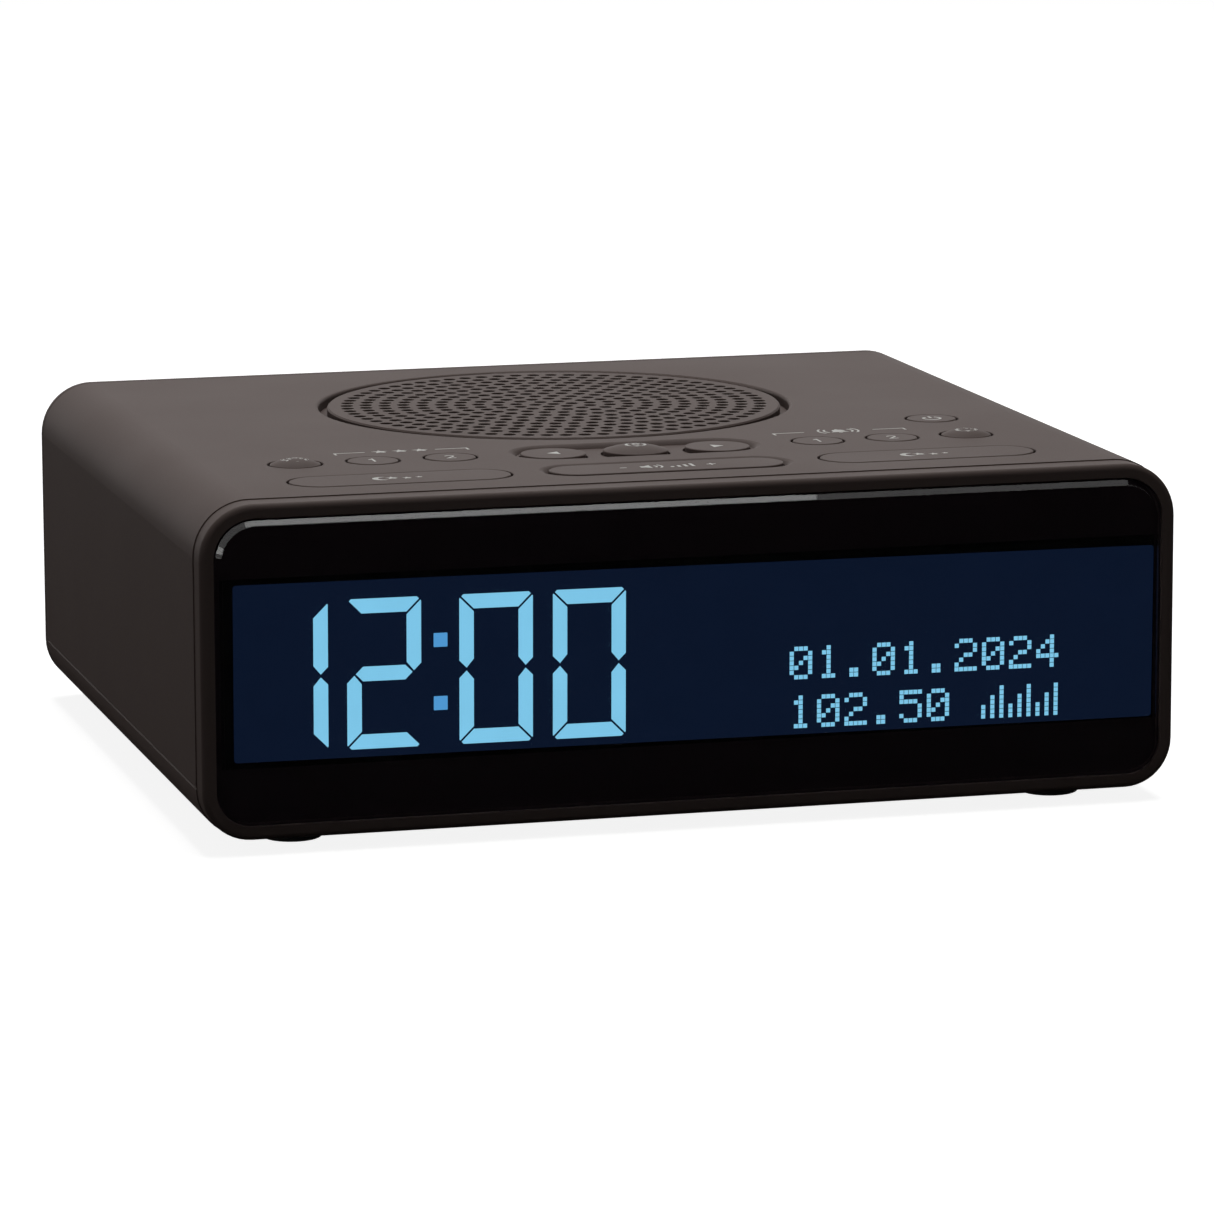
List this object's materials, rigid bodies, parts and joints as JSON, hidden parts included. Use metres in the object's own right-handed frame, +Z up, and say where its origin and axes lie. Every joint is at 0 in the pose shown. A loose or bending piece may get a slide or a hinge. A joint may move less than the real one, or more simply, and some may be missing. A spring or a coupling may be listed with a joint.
{
  "type": "tabletop radio",
  "caption": "Black tabletop radio with a glossy front over a blue display, a round top grille, round keys, snooze bars and a volume rocker.",
  "frame": {"origin": "on the table, under the middle of the case", "axes": "+X to the right seen from the front, +Y to the back, +Z up; the display faces -Y"},
  "size_m": [0.18, 0.157, 0.0636],
  "materials": {
    "case_plastic": "fine-grained black moulding",
    "bezel_plastic": "satin black moulding",
    "key_plastic": "satin black moulding",
    "lens_acrylic": "clear gloss acrylic over black print",
    "display_glass": "dark blue display",
    "light_guide_acrylic": "milky acrylic",
    "inner_plastic": "black moulding",
    "foot_rubber": "black rubber",
    "gasket_foam": "black foam",
    "tape_film": "grey film",
    "cone_paper": "black pulp",
    "spider_cloth": "yellow impregnated cloth",
    "coil_copper": "enamelled wire",
    "speaker_steel": "zinc-plated",
    "magnet_ferrite": "sintered ferrite",
    "board_laminate": "green solder mask",
    "capacitor_sleeve": "printed sleeve",
    "screw_steel": "zinc-plated"
  },
  "bodies": {
    "cabinet": {"aerial_gland": "foot_rubber", "backlight_panel": "light_guide_acrylic", "base_cover": "case_plastic", "base_screws": "screw_steel", "bezel_screws": "screw_steel", "board_headers": "inner_plastic", "capacitors": "capacitor_sleeve", "dc_jack": "inner_plastic", "dc_jack_pin": "coil_copper", "front_bezel": "bezel_plastic", "front_lens": "lens_acrylic", "key_board": "board_laminate", "key_board_screws": "screw_steel", "key_ribbon": "tape_film", "lcd_flex": "tape_film", "lcd_frame": "inner_plastic", "lcd_glass": "display_glass", "lcd_screws": "screw_steel", "lens_tape": "tape_film", "main_board": "board_laminate", "main_board_screws": "screw_steel", "rear_cover": "case_plastic", "rear_screws": "screw_steel", "rocker_pin": "speaker_steel", "rubber_feet": "foot_rubber", "speaker_frame": "speaker_steel", "speaker_gasket": "gasket_foam", "speaker_grille": "case_plastic", "speaker_leads": "tape_film", "speaker_magnet": "magnet_ferrite", "speaker_screws": "screw_steel", "speaker_spider": "spider_cloth", "speaker_surround": "foot_rubber", "speaker_terminals": "inner_plastic", "speaker_top_plate": "speaker_steel", "speaker_yoke": "speaker_steel", "tact_switches": "inner_plastic", "top_shell": "case_plastic", "tuner_can": "speaker_steel"},
    "source_button_body": {"source_button": "key_plastic"},
    "preset_button_1_body": {"preset_button_1": "key_plastic"},
    "preset_button_2_body": {"preset_button_2": "key_plastic"},
    "alarm_button_1_body": {"alarm_button_1": "key_plastic"},
    "alarm_button_2_body": {"alarm_button_2": "key_plastic"},
    "sleep_button_body": {"sleep_button": "key_plastic"},
    "standby_button_body": {"standby_button": "key_plastic"},
    "previous_button_body": {"previous_button": "key_plastic"},
    "select_button_body": {"select_button": "key_plastic"},
    "next_button_body": {"next_button": "key_plastic"},
    "snooze_bar_left_body": {"snooze_bar_left": "key_plastic"},
    "snooze_bar_right_body": {"snooze_bar_right": "key_plastic"},
    "volume_rocker_body": {"volume_rocker": "key_plastic"},
    "diaphragm": {"speaker_cone": "cone_paper", "dust_cap": "cone_paper", "voice_coil": "coil_copper"}
  },
  "joints": [
    {"name": "source_button_press", "type": "slide", "parent": "cabinet", "child": "source_button_body", "axis": [0, 0, -1], "range_m": [0, 0.0006], "stiffness_N_per_m": 1500, "springref_m": -0.0005},
    {"name": "preset_button_1_press", "type": "slide", "parent": "cabinet", "child": "preset_button_1_body", "axis": [0, 0, -1], "range_m": [0, 0.0006], "stiffness_N_per_m": 1500, "springref_m": -0.0005},
    {"name": "preset_button_2_press", "type": "slide", "parent": "cabinet", "child": "preset_button_2_body", "axis": [0, 0, -1], "range_m": [0, 0.0006], "stiffness_N_per_m": 1500, "springref_m": -0.0005},
    {"name": "alarm_button_1_press", "type": "slide", "parent": "cabinet", "child": "alarm_button_1_body", "axis": [0, 0, -1], "range_m": [0, 0.0006], "stiffness_N_per_m": 1500, "springref_m": -0.0005},
    {"name": "alarm_button_2_press", "type": "slide", "parent": "cabinet", "child": "alarm_button_2_body", "axis": [0, 0, -1], "range_m": [0, 0.0006], "stiffness_N_per_m": 1500, "springref_m": -0.0005},
    {"name": "sleep_button_press", "type": "slide", "parent": "cabinet", "child": "sleep_button_body", "axis": [0, 0, -1], "range_m": [0, 0.0006], "stiffness_N_per_m": 1500, "springref_m": -0.0005},
    {"name": "standby_button_press", "type": "slide", "parent": "cabinet", "child": "standby_button_body", "axis": [0, 0, -1], "range_m": [0, 0.0006], "stiffness_N_per_m": 1500, "springref_m": -0.0005},
    {"name": "previous_button_press", "type": "slide", "parent": "cabinet", "child": "previous_button_body", "axis": [0, 0, -1], "range_m": [0, 0.0006], "stiffness_N_per_m": 1500, "springref_m": -0.0005},
    {"name": "select_button_press", "type": "slide", "parent": "cabinet", "child": "select_button_body", "axis": [0, 0, -1], "range_m": [0, 0.0006], "stiffness_N_per_m": 1500, "springref_m": -0.0005},
    {"name": "next_button_press", "type": "slide", "parent": "cabinet", "child": "next_button_body", "axis": [0, 0, -1], "range_m": [0, 0.0006], "stiffness_N_per_m": 1500, "springref_m": -0.0005},
    {"name": "snooze_bar_left_press", "type": "slide", "parent": "cabinet", "child": "snooze_bar_left_body", "axis": [0, 0, -1], "range_m": [0, 0.0006], "stiffness_N_per_m": 1500, "springref_m": -0.0005},
    {"name": "snooze_bar_right_press", "type": "slide", "parent": "cabinet", "child": "snooze_bar_right_body", "axis": [0, 0, -1], "range_m": [0, 0.0006], "stiffness_N_per_m": 1500, "springref_m": -0.0005},
    {"name": "volume_tilt", "type": "hinge", "parent": "cabinet", "child": "volume_rocker_body", "pos_m": [0, -0.0575, 0.0563], "axis": [0, 1, 0], "range_deg": [-1.8, 1.8], "stiffness_Nm_per_rad": 0.72},
    {"name": "cone_stroke", "type": "slide", "parent": "cabinet", "child": "diaphragm", "axis": [0, 0, 1], "range_m": [-0.001, 0.001], "stiffness_N_per_m": 1400, "deforming": ["speaker_surround", "speaker_spider"]}
  ]
}
